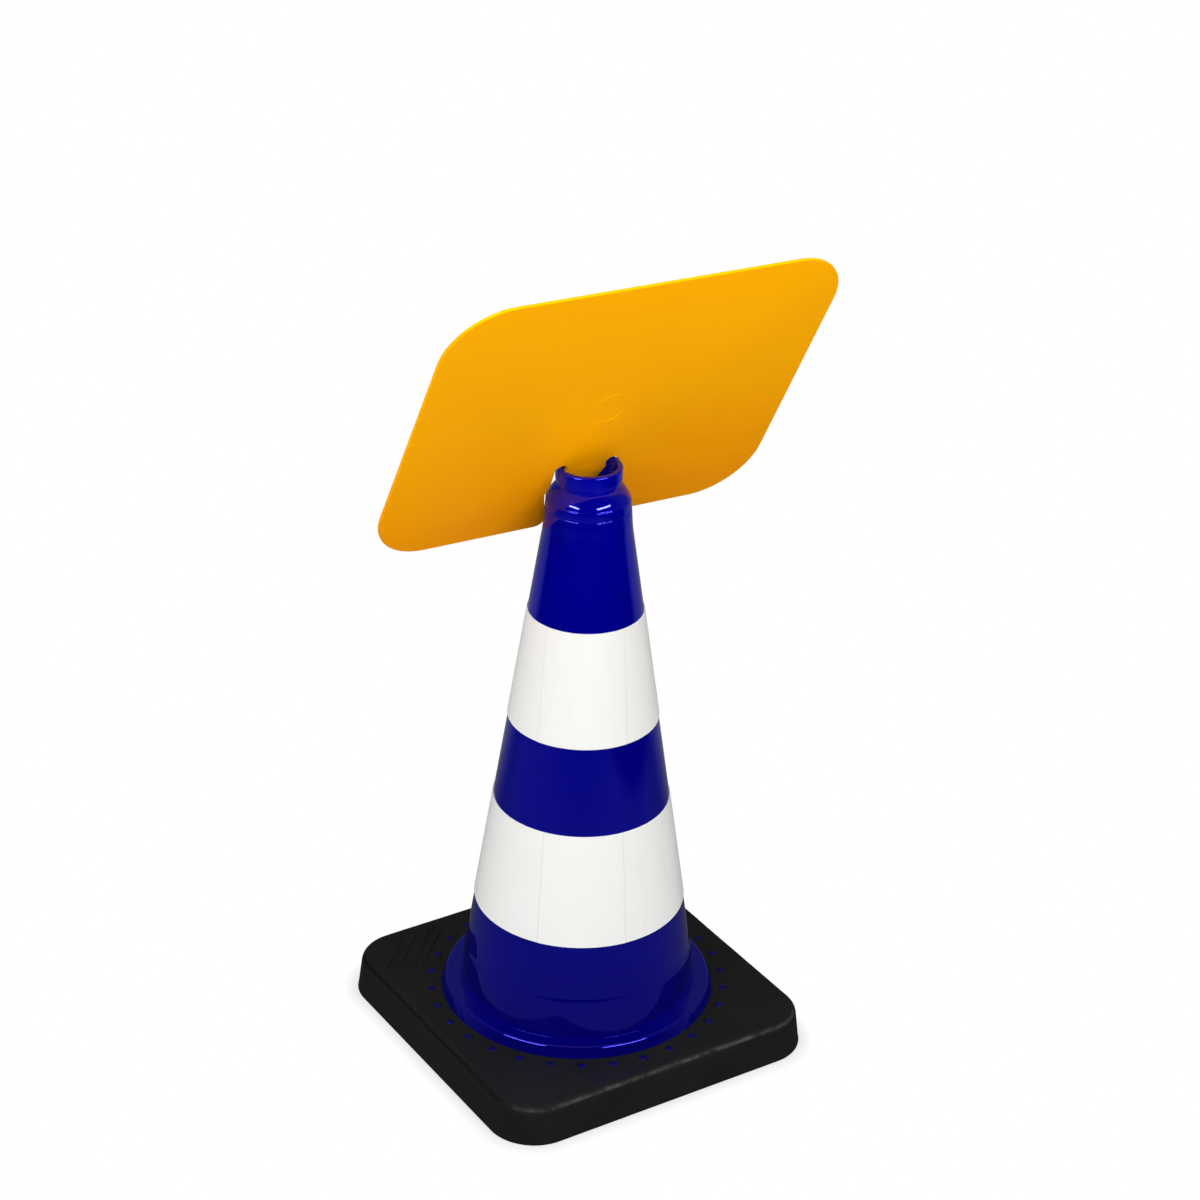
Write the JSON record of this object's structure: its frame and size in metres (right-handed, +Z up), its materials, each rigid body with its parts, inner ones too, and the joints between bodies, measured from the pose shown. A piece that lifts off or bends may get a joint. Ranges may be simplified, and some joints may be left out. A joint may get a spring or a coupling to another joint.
{
  "type": "cone sign",
  "caption": "Traffic cone with a square weight base, white reflective sleeves and a loose slotted sign board that stands in the cone's mouth and turns on it.",
  "frame": {"origin": "centre of the base's underside, on the cone's axis at floor level", "axes": "+Z up the cone's axis, X and Y along the sides of the base, the sign's back towards -Y"},
  "size_m": [0.3398, 0.288, 0.6851],
  "materials": {
    "base_rubber": "moulded, fine grain, rubbed edges",
    "cone_plastic": "glossy moulded",
    "reflective_film": "satin reflective film",
    "board_plastic": "satin, fine moulded texture",
    "face_film": "satin film with a plain dark border"
  },
  "bodies": {
    "cone_and_base": {"base": "base_rubber", "cone": "cone_plastic", "lower_sleeve": "reflective_film", "upper_sleeve": "reflective_film"},
    "sign": {"sign_board": "board_plastic", "sign_face_film": "face_film"}
  },
  "joints": [
    {"name": "sign_swivel", "type": "hinge", "parent": "cone_and_base", "child": "sign", "pos_m": [0, 0, 0.5025], "axis": [0, 0, 1], "continuous": true}
  ]
}
